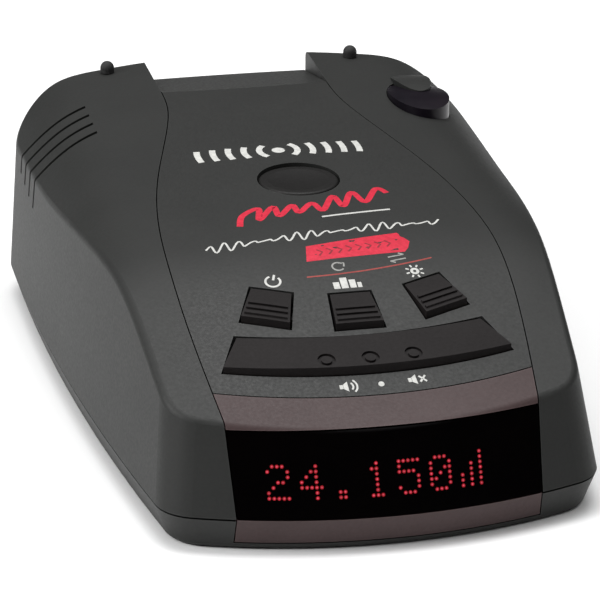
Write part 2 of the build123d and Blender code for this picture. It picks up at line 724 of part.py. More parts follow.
def make_bottom_housing():
    low_z = PARTING_Z - PARTING_GAP
    body = base_block(0, 0, low_z)
    body = fillet([e for e in body.edges() if e.center().Z < 0.01], BASE_EDGE_R)
    body = body - base_block(BASE_WALL, BASE_FLOOR, PARTING_Z)
    body = body + (lip_ring() & block(-DEEP, DEEP, NEAR_Y + LIP_NEAR, DEEP, 0, 10))
    for x, y in CASE_SCREWS:
        body = body + rod(x, y, BASE_FLOOR - 0.2, BOARD_Z, BOSS_R)
        body = body - rod(x, y, -1, CASE_HEAD_DEEP, CASE_HEAD_R + 0.4)
        body = body - rod(x, y, -1, BOARD_Z + 1, CASE_HOLE_R)
    for x, y in BOARD_SCREWS:
        body = body + tube(x, y, BASE_FLOOR - 0.2, BOARD_Z - CONTACT, BOARD_POST_R, BOARD_SCREW_R + RUNNING)
    body = body - lower_trim_pocket()
    return body - label_recess()


def lower_trim_pocket():
    region = seam_prism(0, LOWER_TRIM_Z, PARTING_Z + 1)
    return region & block(-DEEP, DEEP, -DEEP, NEAR_Y + 12, 0, 45) - base_block(LOWER_TRIM_T, -1, 8)


def make_lower_trim():
    body = base_block(0, LOWER_TRIM_Z + SEAM, PARTING_Z - 0.1) & seam_prism(-SEAM)
    body = body & block(-DEEP, DEEP, -DEEP, NEAR_Y + 12, 0, 45)
    return body - base_block(LOWER_TRIM_T - CONTACT, -1, 8)


def label_recess():
    return block(-LABEL[0] / 2, LABEL[0] / 2, LABEL_Y - LABEL[1] / 2, LABEL_Y + LABEL[1] / 2, -1, LABEL_DEEP)


def make_base_label():
    x = LABEL[0] / 2 - FIT
    y = LABEL[1] / 2 - FIT
    return block(-x, x, LABEL_Y - y, LABEL_Y + y, 0.1, LABEL_DEEP - CONTACT)


def make_case_screws():
    screws = []
    for x, y in CASE_SCREWS:
        z = CASE_HEAD_DEEP - CONTACT
        head = rod(x, y, z - CASE_HEAD_T, z, CASE_HEAD_R)
        cross = Pos(x, y, z - CASE_HEAD_T + 0.4) * (Box(2.4, 0.6, 0.9) + Box(0.6, 2.4, 0.9))
        screws.append(head - cross + rod(x, y, z - 0.1, z + CASE_SCREW_L, CASE_SCREW_R))
    return screws


# ---- Boards, switches and display ------------------------------------------------------------------------------
def make_main_board():
    body = block(-BOARD_HALF, BOARD_HALF, BOARD_NECK_Y, BOARD_FAR_Y, BOARD_Z, BOARD_TOP)
    body = body + block(-BOARD_NECK_HALF, BOARD_NECK_HALF, BOARD_NEAR_Y, BOARD_NECK_Y + 1, BOARD_Z, BOARD_TOP)
    for x, y in BOARD_SCREWS:
        body = body - rod(x, y, 0, 20, BOARD_HOLE_R)
    return body


def make_board_screws():
    screws = []
    for x, y in BOARD_SCREWS:
        z = BOARD_TOP + CONTACT
        head = rod(x, y, z, z + BOARD_HEAD_T, BOARD_HEAD_R)
        screws.append(head + rod(x, y, z - BOARD_SCREW_L, z + 0.1, BOARD_SCREW_R))
    return screws


def make_switch_bodies():
    bodies = []
    for x, y, turn in post_places():
        body = Pos(0, 0, SWITCH_H / 2) * Box(SWITCH_SIZE, SWITCH_SIZE, SWITCH_H)
        body = body - Pos(0, 0, STEM_BORE + 5) * Cylinder(STEM_R + RUNNING, 10)
        bodies.append(body.moved(Location((x, y, BOARD_TOP + CONTACT), (0, 0, turn))))
    return bodies


def make_switch_stem(place):
    x, y, _ = place
    return rod(x, y, BOARD_TOP + STEM_LOW, BOARD_TOP + STEM_TOP, STEM_R)


def display_frame():
    """Frame at the back of the display modules, tilted like the display face."""
    z = (PARTING_Z + WINDOW_TOP) / 2
    y = NEAR_Y + FRONT_LEAN * (z - PARTING_Z) + MODULE_BACK
    return Location((0, y, z), (-degrees(atan2(FRONT_LEAN, 1)), 0, 0))


def make_display_modules():
    modules = []
    for side in (-1, 1):
        body = Pos(side * (MODULE[0] / 2 + 0.05), -MODULE[1] / 2, 0) * Box(*MODULE)
        modules.append(display_frame() * body)
    return modules


def make_display_board():
    w, t, h = DISPLAY_BOARD
    return display_frame() * (Pos(0, t / 2 + CONTACT, 0.2) * Box(w, t, h))


def make_light_sensor():
    return display_frame() * (Pos(MODULE[0] + 1.6, -1.0, 0) * Box(2.0, 2.0, 3.0))


def make_board_header():
    """Row of pins that joins the display board to the main board."""
    near = BOARD_NEAR_Y + 0.5
    return block(-HEADER_HALF, HEADER_HALF, near, near + 2.4, BOARD_TOP + CONTACT, BOARD_TOP + 2.4)


def make_processor():
    body = Pos(0, 0, (CHIP_H + 0.25) / 2) * Box(2 * CHIP_HALF, 2 * CHIP_HALF, CHIP_H - 0.25)
    out = CHIP_HALF + CHIP_LEAD_LONG / 2 - 0.05
    for side in range(4):
        for k in range(CHIP_LEADS):
            u = (k - (CHIP_LEADS - 1) / 2) * CHIP_LEAD_STEP
            lead = Pos(u, -out, 0.46) * Box(CHIP_LEAD_W, CHIP_LEAD_LONG, 0.88)
            body = body + Rot(0, 0, 90 * side) * lead
    return Pos(0, CHIP_Y, BOARD_TOP) * body


def make_capacitors():
    return [rod(x, y, BOARD_TOP + CONTACT, BOARD_TOP + CONTACT + h, r) for x, y, r, h in CAPACITORS]


# ---- Antenna end ---------------------------------------------------------------------------------------------------
def horn_loft(extra, back, front):
    """Tapered box of the horn, extra larger all round, between two y positions."""
    def size(y):
        t = (y - HORN_THROAT_Y) / (HORN_MOUTH_Y - HORN_THROAT_Y)
        w = HORN_THROAT[0] + (HORN_MOUTH[0] - HORN_THROAT[0]) * t + 2 * extra
        h = HORN_THROAT[1] + (HORN_MOUTH[1] - HORN_THROAT[1]) * t + 2 * extra
        return w, h
    faces = []
    for y in (back, front):
        faces.append(Plane((0, y, HORN_Z), x_dir=(1, 0, 0), z_dir=(0, 1, 0)) * Rectangle(*size(y)))
    return loft(faces, ruled=True)


def make_antenna_horn():
    body = horn_loft(HORN_T, HORN_THROAT_Y, HORN_MOUTH_Y)
    w, h = RF_BLOCK
    body = body + block(-w / 2, w / 2, HORN_BACK_Y, HORN_THROAT_Y + 0.5, RF_BOARD_Z - h, RF_BOARD_Z)
    body = body - horn_loft(0, HORN_THROAT_Y + 2.5, HORN_MOUTH_Y + 1)
    guide_x = HORN_THROAT[0] / 2 - 2
    guide_z = HORN_THROAT[1] / 2 - 1.5
    back = HORN_BACK_Y + 6
    body = body - block(-guide_x, guide_x, back, HORN_THROAT_Y + 4, HORN_Z - guide_z, HORN_Z + guide_z)
    return body + block(-w / 2, w / 2, HORN_BACK_Y, HORN_BACK_Y + 6, BASE_FLOOR + CONTACT, RF_BOARD_Z - h + 0.5)


def make_rf_board():
    w = RF_BLOCK[0]
    return block(-w / 2, w / 2, HORN_BACK_Y - 1, HORN_THROAT_Y - 2, RF_BOARD_Z + CONTACT, RF_BOARD_Z + RF_BOARD_T)


def make_rf_shield():
    w = RF_BLOCK[0] / 2 - 1.5
    z = RF_BOARD_Z + RF_BOARD_T + CONTACT
    can = block(-w, w, HORN_BACK_Y + 1, HORN_THROAT_Y - 4, z, z + RF_CAN_H)
    return can - block(-w + 0.5, w - 0.5, HORN_BACK_Y + 1.5, HORN_THROAT_Y - 4.5, z - 1, z + RF_CAN_H - 0.5)


def front_lens_solid(grow):
    w, h = FRONT_LENS
    face = RectangleRounded(w + 2 * grow, h + 2 * grow, 1.5 + grow)
    plane = Plane((FRONT_LENS_X, FAR_Y - 20, FRONT_LENS_Z), x_dir=(1, 0, 0), z_dir=(0, 1, 0))
    return extrude(plane * face, amount=30)


def make_front_laser_lens(outer):
    body = front_lens_solid(0) & outer
    return body - casing_block(WALL + 0.6, 0)


def make_photodiodes():
    x, z = FRONT_LENS_X, FRONT_LENS_Z
    front = block(x - 2.5, x + 2.5, PHOTO_Y, PHOTO_Y + 2.4, z - 2.5, z + 2.5)
    leg = block(x - 1.0, x + 1.0, PHOTO_Y, PHOTO_Y + 1.2, BASE_FLOOR + CONTACT, z - 2.4)
    top = top_height(LENS_X + LENS_HALF_W, LENS_Y) - SKIN - 1.6
    rear = block(LENS_X - 2, LENS_X + 2, LENS_Y - 4, LENS_Y - 0.5, top - 2.8, top)
    return [front + leg, rear]


def make_speaker_frame():
    frame = tube(SPEAKER_X, SPEAKER_Y, SPEAKER_Z, SPEAKER_Z + 1.0, SPEAKER_R, SPEAKER_R - 1.6)
    bowl = tube(SPEAKER_X, SPEAKER_Y, SPEAKER_Z - 2.4, SPEAKER_Z + 1.0, SPEAKER_R - 0.9, SPEAKER_R - 1.9)
    back = tube(SPEAKER_X, SPEAKER_Y, SPEAKER_Z - 2.4, SPEAKER_Z - 1.6, SPEAKER_R - 0.9, 2.4)
    return frame + bowl + back


def make_speaker_cone():
    cone = Pos(SPEAKER_X, SPEAKER_Y, SPEAKER_Z + 0.5) * Cone(2.0, SPEAKER_R - 2.2, 2.0)
    hollow = Pos(SPEAKER_X, SPEAKER_Y, SPEAKER_Z + 1.0) * Cone(1.6, SPEAKER_R - 2.6, 2.0)
    rim = tube(SPEAKER_X, SPEAKER_Y, SPEAKER_Z + 1.0 + CONTACT, SPEAKER_Z + 1.5, SPEAKER_R - 0.2, SPEAKER_R - 2.8)
    return (cone - hollow) + rim


def make_speaker_magnet():
    return rod(SPEAKER_X, SPEAKER_Y, SPEAKER_Z - 5.4, SPEAKER_Z - 2.4 - CONTACT, 5.0)


# ---- Sockets -----------------------------------------------------------------------------------------------------------
def power_plug_way(grow):
    """Hole in the side wall round the power socket."""
    _, w, h = POWER_BODY
    z = BOARD_TOP + CONTACT
    return block(20, DEEP, POWER_Y - w / 2 - grow, POWER_Y + w / 2 + grow, z - grow, z + h + grow)


def make_power_jack():
    long, w, h = POWER_BODY
    z = BOARD_TOP + CONTACT
    face_x = side_x(POWER_Y, z + h) - SOCKET_BACK
    body = block(face_x - long, face_x, POWER_Y - w / 2, POWER_Y + w / 2, z, z + h)
    sw, sh = POWER_SOCKET
    mid = z + h / 2
    hole = block(face_x - POWER_DEEP, face_x + 1, POWER_Y - sw / 2, POWER_Y + sw / 2, mid - sh / 2, mid + sh / 2)
    key = block(face_x - POWER_DEEP, face_x + 1, POWER_Y - 1.6, POWER_Y + 1.6, mid - sh / 2 - 1.2, mid)
    return body - hole - key


def phone_z():
    return BOARD_TOP + CONTACT + PHONE_BODY[2] / 2 + 0.6


def phone_barrel(grow):
    x = side_x(PHONE_Y, phone_z())
    return Pos(x - 3, PHONE_Y, phone_z()) * Rot(0, 90, 0) * Cylinder(PHONE_BARREL_R + grow, 16)


def make_phone_jack():
    long, w, h = PHONE_BODY
    x = side_x(PHONE_Y, phone_z())
    face_x = x - 0.1
    z = BOARD_TOP + CONTACT
    body = block(face_x - 3 - long, face_x - 3, PHONE_Y - w / 2, PHONE_Y + w / 2, z, z + h + 1.2)
    barrel = Pos(face_x - 1.6, PHONE_Y, phone_z()) * Rot(0, 90, 0) * Cylinder(PHONE_BARREL_R, 3.2)
    bore = Pos(face_x - PHONE_BORE_L / 2, PHONE_Y, phone_z()) * Rot(0, 90, 0) * Cylinder(PHONE_BORE_R, PHONE_BORE_L)
    return body + barrel - bore


# ---- Writing the pieces --------------------------------------------------------------------------------------------------
def build_cases():
    outer = rounded_casing()
    inner = casing_block(WALL, SKIN)
    save(make_top_housing(outer, inner), "top_housing")
    save(make_bottom_housing(), "bottom_housing")
    save(make_centre_panel(outer), "centre_panel")
    save(make_upper_trim(outer), "upper_trim")
    save(make_lower_trim(), "lower_trim")
    save(make_window(outer), "display_window")
    save(make_rear_laser_lens(), "rear_laser_lens")
    save(make_front_laser_lens(outer), "front_laser_lens")
    save(make_pegs(), "windscreen_pegs")
    save(make_base_label(), "base_label")
    save(make_case_screws(), "case_screws")


def build_controls():
    for index, name in ((-1, "power_key"), (0, "centre_key"), (1, "brightness_key")):
        save(make_key(index), name)
    save(make_volume_bar(), "volume_bar")
    save(make_switch_bodies(), "switch_bodies")
    for number, place in enumerate(post_places(), 1):
        save(make_switch_stem(place), f"switch_stem_{number}")
    save(make_release_button(), "release_button")
    save(make_latch_lug(), "latch_lug")
    save(make_release_spring(), "release_spring")
    save(make_mount_channel(), "bracket_channel")
    save(make_power_jack(), "power_jack")
    save(make_phone_jack(), "phone_jack")


def build_electronics():
    save(make_main_board(), "main_board")
    save(make_board_screws(), "board_screws")
    save(make_display_modules(), "display_modules")
    save(make_display_board(), "display_board")
    save(make_light_sensor(), "light_sensor")
    save(make_board_header(), "board_header")
    save(make_processor(), "processor")
    save(make_capacitors(), "capacitors")
    save(make_antenna_horn(), "antenna_horn")
    save(make_rf_board(), "rf_board")
    save(make_rf_shield(), "rf_shield")
    save(make_photodiodes(), "photodiodes")
    save(make_speaker_frame(), "speaker_frame")
    save(make_speaker_cone(), "speaker_cone")
    save(make_speaker_magnet(), "speaker_magnet")


os.makedirs("parts", exist_ok=True)
build_cases()
build_controls()
build_electronics()
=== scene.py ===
import json
import math

import bmesh
import bpy
from mathutils import Matrix, Vector
from mathutils.bvhtree import BVHTree


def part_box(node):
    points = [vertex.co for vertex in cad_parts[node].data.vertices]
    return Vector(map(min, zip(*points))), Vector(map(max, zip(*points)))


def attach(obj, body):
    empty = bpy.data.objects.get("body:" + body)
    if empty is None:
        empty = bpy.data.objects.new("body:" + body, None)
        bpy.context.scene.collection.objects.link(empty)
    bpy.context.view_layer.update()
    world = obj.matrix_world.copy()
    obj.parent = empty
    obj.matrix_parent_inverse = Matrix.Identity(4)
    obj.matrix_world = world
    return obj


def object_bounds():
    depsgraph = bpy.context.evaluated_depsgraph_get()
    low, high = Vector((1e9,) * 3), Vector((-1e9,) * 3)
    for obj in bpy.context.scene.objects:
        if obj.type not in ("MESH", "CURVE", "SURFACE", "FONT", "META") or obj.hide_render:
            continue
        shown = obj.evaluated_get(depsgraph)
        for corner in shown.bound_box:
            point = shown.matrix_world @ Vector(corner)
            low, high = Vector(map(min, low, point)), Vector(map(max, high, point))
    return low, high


# Radar detector: materials, printed marks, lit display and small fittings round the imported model.
# Lengths are in metres; MM turns millimetres into metres.

MM = 0.001

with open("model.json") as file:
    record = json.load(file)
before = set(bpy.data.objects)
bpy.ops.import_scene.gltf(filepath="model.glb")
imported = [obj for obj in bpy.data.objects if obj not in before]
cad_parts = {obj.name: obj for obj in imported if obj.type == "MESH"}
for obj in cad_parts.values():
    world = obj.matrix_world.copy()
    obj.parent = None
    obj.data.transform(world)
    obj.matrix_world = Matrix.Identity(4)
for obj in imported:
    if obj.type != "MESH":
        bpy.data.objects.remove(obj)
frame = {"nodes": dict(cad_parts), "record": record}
cad_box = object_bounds()
NODES = frame["nodes"]

# ---- Camera ------------------------------------------------------------------------------------
CAMERA_AT = Vector((-0.1117, -0.4944, 0.2177))
CAMERA_TURN = math.radians(12.69)      # to the right of +Y
CAMERA_DOWN = math.radians(21.96)
CAMERA_ROLL = math.radians(0.30)
CAMERA_SENSOR = 36                     # mm, as the lens is
CAMERA_LENS = 220.6


def make_camera():
    turn = Matrix.Rotation(-CAMERA_TURN, 3, "Z")
    tilt = Matrix.Rotation(math.pi / 2 - CAMERA_DOWN, 3, "X")
    roll = Matrix.Rotation(CAMERA_ROLL, 3, "Z")
    data = bpy.data.cameras.new("camera")
    data.lens = CAMERA_LENS
    data.sensor_width = CAMERA_SENSOR
    data.clip_start = 0.01
    camera = bpy.data.objects.new("camera", data)
    camera.matrix_world = Matrix.Translation(CAMERA_AT) @ (turn @ tilt @ roll).to_4x4()
    bpy.context.scene.collection.objects.link(camera)
    bpy.context.scene.camera = camera


# ---- Light and floor ---------------------------------------------------------------------------
WORLD_LOW = (0.45, 0.05)               # height on the dome, and brightness there
WORLD_HIGH = (0.98, 1.3)
LIGHTS = (                             # name, place, point aimed at, size, watts
    ("overhead", (0.04, 0.12, 0.85), (0, 0, 0.01), (0.55, 0.40), 4.2),
    ("left_softbox", (-0.68, -0.06, 0.46), (-0.02, -0.02, 0.015), (0.34, 0.24), 3.6),
)
FLOOR_REACH = 6.0
FLOOR_COLOUR = (0.93, 0.93, 0.93, 1)
FLOOR_DROP = 0.1 * MM                  # below the base, so that the two never share a plane


def area_light(name, at, aim, size, power):
    data = bpy.data.lights.new(name, "AREA")
    data.shape = "RECTANGLE"
    data.size = size[0]
    data.size_y = size[1]
    data.energy = power
    light = bpy.data.objects.new(name, data)
    light.location = at
    light.rotation_euler = (Vector(aim) - Vector(at)).to_track_quat("-Z", "Y").to_euler()
    bpy.context.scene.collection.objects.link(light)


def make_world():
    """Studio dome: bright overhead, dark low down, so that the upright window stays black."""
    world = bpy.data.worlds.new("studio")
    world.use_nodes = True
    nodes = world.node_tree.nodes
    links = world.node_tree.links
    direction = nodes.new("ShaderNodeTexCoord").outputs["Generated"]
    split = nodes.new("ShaderNodeSeparateXYZ")
    ramp = nodes.new("ShaderNodeMapRange")
    ramp.interpolation_type = "SMOOTHSTEP"
    ramp.inputs["From Min"].default_value = WORLD_LOW[0]
    ramp.inputs["From Max"].default_value = WORLD_HIGH[0]
    ramp.inputs["To Min"].default_value = WORLD_LOW[1]
    ramp.inputs["To Max"].default_value = WORLD_HIGH[1]
    links.new(direction, split.inputs["Vector"])
    links.new(split.outputs["Z"], ramp.inputs["Value"])
    links.new(ramp.outputs["Result"], nodes["Background"].inputs["Strength"])
    nodes["Background"].inputs["Color"].default_value = (1, 1, 1, 1)
    bpy.context.scene.world = world


def make_light():
    make_world()
    bpy.context.scene.view_settings.view_transform = "Standard"
    for row in LIGHTS:
        area_light(*row)


def make_floor():
    mesh = bpy.data.meshes.new("floor")
    signs = ((-1, -1), (1, -1), (1, 1), (-1, 1))
    mesh.from_pydata([(x * FLOOR_REACH, y * FLOOR_REACH, 0) for x, y in signs], [], [(0, 1, 2, 3)])
    floor = bpy.data.objects.new("floor", mesh)
    floor.location.z = cad_box[0][2] - FLOOR_DROP
    bpy.context.scene.collection.objects.link(floor)
    mat = bpy.data.materials.new("floor_paper")
    mat.use_nodes = True
    shader = mat.node_tree.nodes["Principled BSDF"]
    shader.inputs["Base Color"].default_value = FLOOR_COLOUR
    shader.inputs["Roughness"].default_value = 0.85
    mesh.materials.append(mat)


# ---- Materials ---------------------------------------------------------------------------------
class Shader:
    """A Principled material with helpers for its procedural detail."""

    def __init__(self, name, **values):
        self.mat = bpy.data.materials.new(name)
        self.mat.use_nodes = True
        self.nodes = self.mat.node_tree.nodes
        self.links = self.mat.node_tree.links
        self.bsdf = self.nodes["Principled BSDF"]
        for key, value in values.items():
            self.bsdf.inputs[key.replace("_", " ")].default_value = value
        self.coords = self.nodes.new("ShaderNodeTexCoord").outputs["Object"]
        self.normal = None

    def noise(self, size, detail=3.0, rough=0.55):
        """Noise whose features are about size metres across."""
        node = self.nodes.new("ShaderNodeTexNoise")
        node.inputs["Scale"].default_value = 1.0 / size
        node.inputs["Detail"].default_value = detail
        node.inputs["Roughness"].default_value = rough
        self.links.new(self.coords, node.inputs["Vector"])
        return node.outputs["Fac"]

    def cells(self, size):
        node = self.nodes.new("ShaderNodeTexVoronoi")
        node.inputs["Scale"].default_value = 1.0 / size
        self.links.new(self.coords, node.inputs["Vector"])
        return node.outputs["Distance"]

    def span(self, value, low, high, out_low, out_high):
        node = self.nodes.new("ShaderNodeMapRange")
        node.inputs["From Min"].default_value = low
        node.inputs["From Max"].default_value = high
        node.inputs["To Min"].default_value = out_low
        node.inputs["To Max"].default_value = out_high
        self.links.new(value, node.inputs["Value"])
        return node.outputs["Result"]

    def blend(self, factor, first, second):
        """Colour mix: first where the factor is 0, second where it is 1."""
        node = self.nodes.new("ShaderNodeMix")
        node.data_type = "RGBA"
        self.links.new(factor, node.inputs["Factor"])
        for socket, colour in ((node.inputs[6], first), (node.inputs[7], second)):
            if isinstance(colour, tuple):
                socket.default_value = (*colour, 1)
            else:
                self.links.new(colour, socket)
        return node.outputs[2]

    def edge(self, radius):
        """1 on sharp convex and concave edges, 0 on open surface."""
        bevel = self.nodes.new("ShaderNodeBevel")
        bevel.samples = 4
        bevel.inputs["Radius"].default_value = radius
        geometry = self.nodes.new("ShaderNodeNewGeometry")
        dot = self.nodes.new("ShaderNodeVectorMath")
        dot.operation = "DOT_PRODUCT"
        self.links.new(bevel.outputs["Normal"], dot.inputs[0])
        self.links.new(geometry.outputs["Normal"], dot.inputs[1])
        return self.span(dot.outputs["Value"], 0.995, 0.90, 0.0, 1.0)

    def bump(self, height, distance, strength=1.0):
        node = self.nodes.new("ShaderNodeBump")
        node.inputs["Distance"].default_value = distance
        node.inputs["Strength"].default_value = strength
        self.links.new(height, node.inputs["Height"])
        if self.normal:
            self.links.new(self.normal, node.inputs["Normal"])
        self.normal = node.outputs["Normal"]
        self.links.new(self.normal, self.bsdf.inputs["Normal"])

    def colour(self, output):
        self.links.new(output, self.bsdf.inputs["Base Color"])

    def roughness(self, output):
        self.links.new(output, self.bsdf.inputs["Roughness"])


def grey(value):
    return (value, value, value)


def paler(colour, gain, lift=0.0):
    return tuple(min(1, c * gain + lift) for c in colour)


def moulded(name, dark, light, rough=(0.45, 0.6), depth=0.004 * MM, wear=0.30, shine=0.3):
    """Moulded plastic: cloudy colour, fine spark-eroded grain, paler rubbed edges."""
    s = Shader(name, Specular_IOR_Level=shine)
    cloud = s.span(s.noise(14 * MM, 2.0), 0.3, 0.7, 0, 1)
    fleck = s.span(s.noise(0.5 * MM, 2.0), 0.3, 0.7, 0, 1)
    base = s.blend(cloud, dark, light)
    base = s.blend(s.span(fleck, 0, 1, 0, 0.22), base, paler(light, 1.6))
    rub = s.span(s.edge(0.25 * MM), 0, 1, 0, wear)
    s.colour(s.blend(rub, base, paler(light, 2.1, 0.01)))
    s.roughness(s.span(s.noise(0.45 * MM, 2.0), 0.3, 0.7, *rough))
    s.bump(s.noise(0.20 * MM, 4.0, 0.6), depth)
    return s.mat


def glossy(name, dark, light, rough=(0.04, 0.1), shine=0.5):
    """Polished resin or film: faint haze and faint moulding waves."""
    s = Shader(name, Specular_IOR_Level=shine)
    s.colour(s.blend(s.span(s.noise(6 * MM), 0.3, 0.7, 0, 1), dark, light))
    s.roughness(s.span(s.noise(2.5 * MM), 0.35, 0.7, *rough))
    s.bump(s.noise(14 * MM, 1.0), 0.02 * MM, 0.4)
    return s.mat


def metallic(name, dark, light, rough=(0.25, 0.4), depth=0.006 * MM):
    """Metal: patchy tone, fine grain, brighter rubbed edges."""
    s = Shader(name, Metallic=1.0)
    base = s.blend(s.span(s.noise(3 * MM), 0.3, 0.7, 0, 1), dark, light)
    rub = s.span(s.edge(0.2 * MM), 0, 1, 0, 0.5)
    s.colour(s.blend(rub, base, paler(light, 1.3, 0.05)))
    s.roughness(s.span(s.noise(0.8 * MM), 0.3, 0.7, *rough))
    s.bump(s.noise(0.3 * MM), depth)
    return s.mat


def laminate(name):
    """Green board with faint copper tracks under the mask."""
    s = Shader(name, Coat_Weight=0.5, Coat_Roughness=0.15)
    tracks = s.span(s.cells(1.6 * MM), 0.30, 0.36, 0, 1)
    s.colour(s.blend(tracks, (0.02, 0.13, 0.05), (0.01, 0.06, 0.03)))
    s.roughness(s.span(s.noise(1 * MM), 0.3, 0.7, 0.25, 0.4))
    s.bump(tracks, 0.03 * MM)
    return s.mat


def lit(name, colour, strength):
    """Lit dot: brighter and dimmer from dot to dot."""
    s = Shader(name, Roughness=0.3)
    s.bsdf.inputs["Base Color"].default_value = (0.2, 0.01, 0.01, 1)
    flicker = s.span(s.noise(0.9 * MM, 1.0), 0.3, 0.7, 0, 1)
    s.links.new(s.blend(flicker, paler(colour, 0.55), colour), s.bsdf.inputs["Emission Color"])
    s.bsdf.inputs["Emission Strength"].default_value = strength
    return s.mat


def print_ink(name, dark, light):
    """Screen-printed ink: slightly uneven, with the panel's grain showing through."""
    s = Shader(name, Specular_IOR_Level=0.3)
    s.colour(s.blend(s.span(s.noise(0.8 * MM), 0.35, 0.65, 0, 1), dark, light))
    s.roughness(s.span(s.noise(1.2 * MM), 0.3, 0.7, 0.45, 0.6))
    s.bump(s.noise(0.35 * MM, 4.0, 0.6), 0.010 * MM)
    return s.mat


def make_materials():
    table = {
        "casing": moulded("casing_plastic", (0.0160, 0.0166, 0.0158), (0.0190, 0.0196, 0.0186),
                          rough=(0.50, 0.58)),
        "panel": moulded("panel_plastic", (0.0165, 0.0170, 0.0162), (0.0195, 0.0200, 0.0190)),
        "trim": moulded("trim_satin", (0.048, 0.031, 0.031), (0.058, 0.038, 0.038),
                        rough=(0.45, 0.55), depth=0.003 * MM, shine=0.22),
        "window": glossy("window_smoked", (0.0004, 0.0002, 0.0003), (0.0008, 0.0004, 0.0005), shine=0.12),
        "lens": glossy("laser_lens_filter", (0.004, 0.003, 0.006), (0.008, 0.005, 0.009),
                       rough=(0.30, 0.38), shine=0.2),
        "key_plastic": moulded("key_satin", (0.0085, 0.0070, 0.0070), (0.0120, 0.0100, 0.0100),
                               rough=(0.5, 0.6), depth=0.003 * MM, wear=0.15, shine=0.13),
        "button_plastic": moulded("button_satin", (0.006, 0.0055, 0.0055), (0.009, 0.0085, 0.008),
                                  rough=(0.45, 0.55), shine=0.24),
        "peg_rubber": moulded("peg_rubber", grey(0.018), grey(0.03), rough=(0.6, 0.75)),
        "label": moulded("label_film", (0.42, 0.42, 0.41), (0.5, 0.5, 0.48), rough=(0.3, 0.4), wear=0.1),
        "screw_steel": metallic("screw_black_zinc", grey(0.05), grey(0.10)),
        "latch_plastic": moulded("latch_acetal", grey(0.07), grey(0.1)),
        "spring_steel": metallic("spring_wire", grey(0.45), grey(0.6)),
        "channel_plastic": moulded("channel_plastic", grey(0.015), grey(0.025)),
        "board_laminate": laminate("board_laminate"),
        "switch_black": moulded("switch_black", grey(0.012), grey(0.02)),
        "module_black": moulded("module_black", grey(0.01), grey(0.015)),
        "chip_black": moulded("chip_epoxy", (0.015, 0.015, 0.017), (0.025, 0.025, 0.028)),
        "capacitor_sleeve": glossy("capacitor_sleeve", (0.01, 0.015, 0.06), (0.02, 0.03, 0.09),
                                   rough=(0.2, 0.3)),
        "diecast": metallic("diecast_zinc", (0.42, 0.42, 0.43), (0.55, 0.55, 0.56),
                            rough=(0.4, 0.55), depth=0.02 * MM),
        "tinplate": metallic("tinplate", (0.5, 0.5, 0.48), (0.62, 0.62, 0.6)),
        "diode_lens": glossy("diode_resin", (0.006, 0.005, 0.008), (0.012, 0.01, 0.014)),
        "cone_paper": moulded("cone_paper", (0.025, 0.025, 0.03), (0.04, 0.04, 0.045), rough=(0.7, 0.85)),
        "magnet": metallic("magnet_ferrite", grey(0.05), grey(0.09), rough=(0.5, 0.6)),
        "socket_black": moulded("socket_nylon", grey(0.012), grey(0.02), rough=(0.35, 0.5)),
        "stem_plastic": moulded("stem_plastic", (0.35, 0.06, 0.03), (0.42, 0.08, 0.04)),
    }
    for part in frame["record"]["subparts"]:
        mesh = NODES[part["node"]].data
        mesh.materials.clear()
        mesh.materials.append(table[part["material_slot"]])


# ---- Finding the CAD surfaces ------------------------------------------------------------------
def tree_of(node):
    mesh = NODES[node].data
    return BVHTree.FromPolygons([v.co for v in mesh.vertices], [p.vertices for p in mesh.polygons])


IN_FRONT = -0.2                        # rays at the window start here
OVERHEAD = 0.08                        # rays at the panel start here
TREES = {name: tree_of(name) for name in ("centre_panel", "display_window")}


def onto(node, origin, direction):
    """Point and outward normal where a ray meets a CAD node."""
    direction = Vector(direction).normalized()
    point, normal, _, _ = TREES[node].ray_cast(Vector(origin), direction)
    if point is None:
        raise ValueError(f"nothing of {node} lies at {tuple(origin)}")
    if normal.dot(direction) > 0:
        normal = -normal
    return point, normal


def add_piece(name, bm, material):
    """Make the mesh a piece that rides on the casing, under the given material slot."""
    mesh = bpy.data.meshes.new(name)
    bm.normal_update()
    bm.to_mesh(mesh)
    bm.free()
    piece = bpy.data.objects.new(name, mesh)
    bpy.context.scene.collection.objects.link(piece)
    mesh.materials.append(material)
    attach(piece, "casing")


# ---- Display -----------------------------------------------------------------------------------
DOT_PITCH = 0.66 * MM
DOT_R = 0.25 * MM
GLOW_R = 1.05 * DOT_R
CORE_R = 0.48 * DOT_R
GLOW_LIFT = 0.008 * MM
CORE_LIFT = 0.014 * MM
DOT_THICK = 0.02 * MM
DOT_SIDES = 14
CELL_PITCH = 4.45 * MM
FIRST_CELL_X = -15.6 * MM
ROW_Z = 9.7 * MM
GLYPHS = {
    "0": "01110 10001 10011 10101 11001 10001 01110",
    "1": "00100 01100 00100 00100 00100 00100 01110",
    "2": "01110 10001 00001 00110 01000 10000 11111",
    "4": "00010 00110 01010 10010 11111 00010 00010",
    "5": "11111 10000 11110 00001 00001 10001 01110",
    ".": "00000 00000 00000 00000 00000 01100 01100",
    "bars": "00001 00001 00101 00101 10101 10101 10101",
}
READOUT = ("2", "4", ".", "1", "5", "0", "bars")


